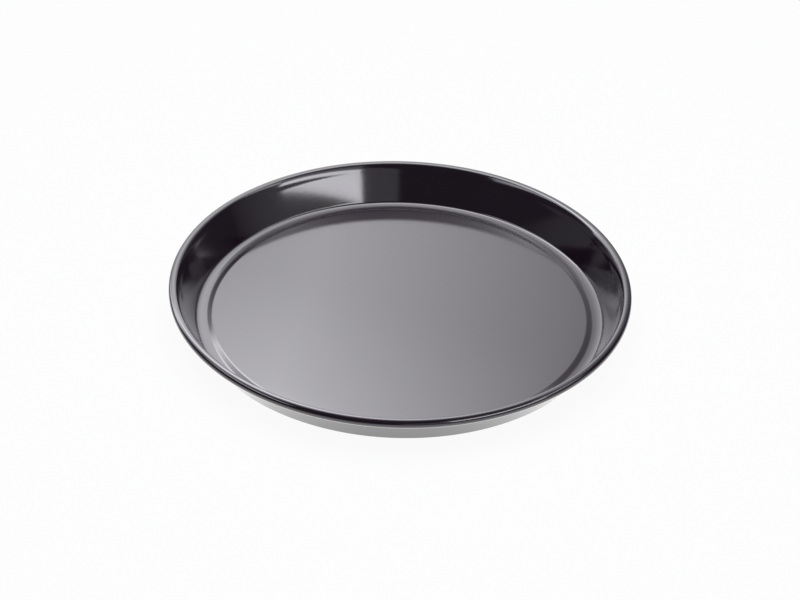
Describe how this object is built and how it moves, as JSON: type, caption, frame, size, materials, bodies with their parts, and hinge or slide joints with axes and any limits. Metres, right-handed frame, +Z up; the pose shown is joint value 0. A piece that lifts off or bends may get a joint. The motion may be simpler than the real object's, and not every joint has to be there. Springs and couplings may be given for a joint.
{
  "type": "round baking pan",
  "caption": "Shallow round baking pan of dark glossy enamelled steel, with a flared wall, a curled rim and a raised flat centre panel inside a shallow gutter.",
  "frame": {"origin": "on the pan's axis, on the plane that the pan stands on", "axes": "+Z up along the pan's axis, out of the open side; X and Y lie in the plane that the pan stands on"},
  "size_m": [0.27, 0.27, 0.024],
  "materials": {
    "steel": "bare rolled steel sheet under the enamel",
    "enamel": "glossy vitreous enamel, near black with a faint purple tint"
  },
  "bodies": {
    "root": {"steel_pressing": "steel", "inside_enamel": "enamel", "outside_enamel": "enamel"}
  },
  "joints": []
}
